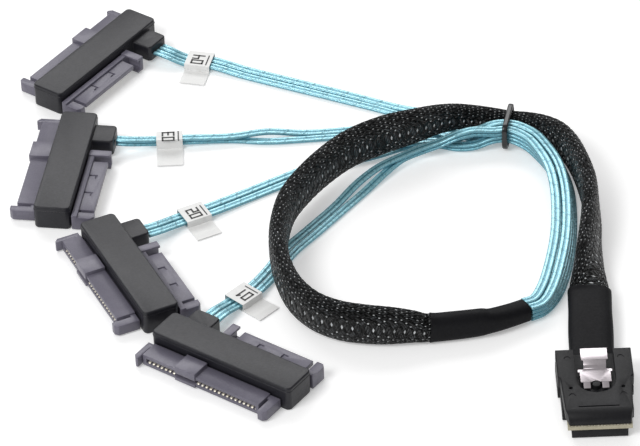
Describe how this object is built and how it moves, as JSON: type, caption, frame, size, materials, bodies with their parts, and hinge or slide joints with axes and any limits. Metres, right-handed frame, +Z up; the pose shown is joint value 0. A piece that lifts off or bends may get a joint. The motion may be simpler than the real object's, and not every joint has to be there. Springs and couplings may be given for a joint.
{
  "type": "mini sas breakout cable",
  "caption": "Breakout cable with a latched mini SAS host plug, a flat braided trunk, flat blue tapes and drive connectors with power plugs.",
  "frame": {"origin": "middle of the rigid connectors' bounding box, on the bench that the cable lies on", "axes": "+Z up from the bench, host plug mates towards -Y, drive ends on the -X side"},
  "size_m": [0.1566, 0.186, 0.0151],
  "materials": {
    "moulded_black": "satin moulded PVC",
    "insulator_grey": "glass filled moulding with a soft sheen",
    "host_black": "fine spark texture",
    "card": "printed board with gold pads",
    "latch_steel": "bright stamped spring steel",
    "heatshrink_black": "matte polyolefin",
    "braid_black": "expandable monofilament braid",
    "tape_blue": "translucent blue film over foil",
    "label_white": "white flag label",
    "tie_black": "smooth nylon"
  },
  "bodies": {
    "cable": {"host_lower_shell": "host_black", "host_upper_shell": "host_black", "host_paddle_card": "card", "host_heatshrink": "heatshrink_black", "trunk_sleeve": "braid_black", "split_heatshrink": "heatshrink_black", "bundle_tie": "tie_black", "tape_1a": "tape_blue", "tape_1b": "tape_blue", "tape_2a": "tape_blue", "tape_2b": "tape_blue", "tape_3a": "tape_blue", "tape_3b": "tape_blue", "tape_4a": "tape_blue", "tape_4b": "tape_blue", "label_1": "label_white", "label_2": "label_white", "label_3": "label_white", "label_4": "label_white", "drive_block_1": "moulded_black", "drive_block_2": "moulded_black", "drive_block_3": "moulded_black", "drive_block_4": "moulded_black", "drive_receptacle_1": "insulator_grey", "drive_receptacle_2": "insulator_grey", "drive_receptacle_3": "insulator_grey", "drive_receptacle_4": "insulator_grey", "drive_power_plug_1": "insulator_grey", "drive_power_plug_2": "insulator_grey", "drive_power_plug_3": "insulator_grey", "drive_power_plug_4": "insulator_grey"},
    "latch": {"host_latch": "latch_steel"}
  },
  "joints": [
    {"name": "latch_press", "type": "hinge", "parent": "cable", "child": "latch", "pos_m": [0.06893, -0.08031, 0.00535], "axis": [-1, 0, 0], "range_deg": [0, 6], "stiffness_Nm_per_rad": 0.05}
  ]
}
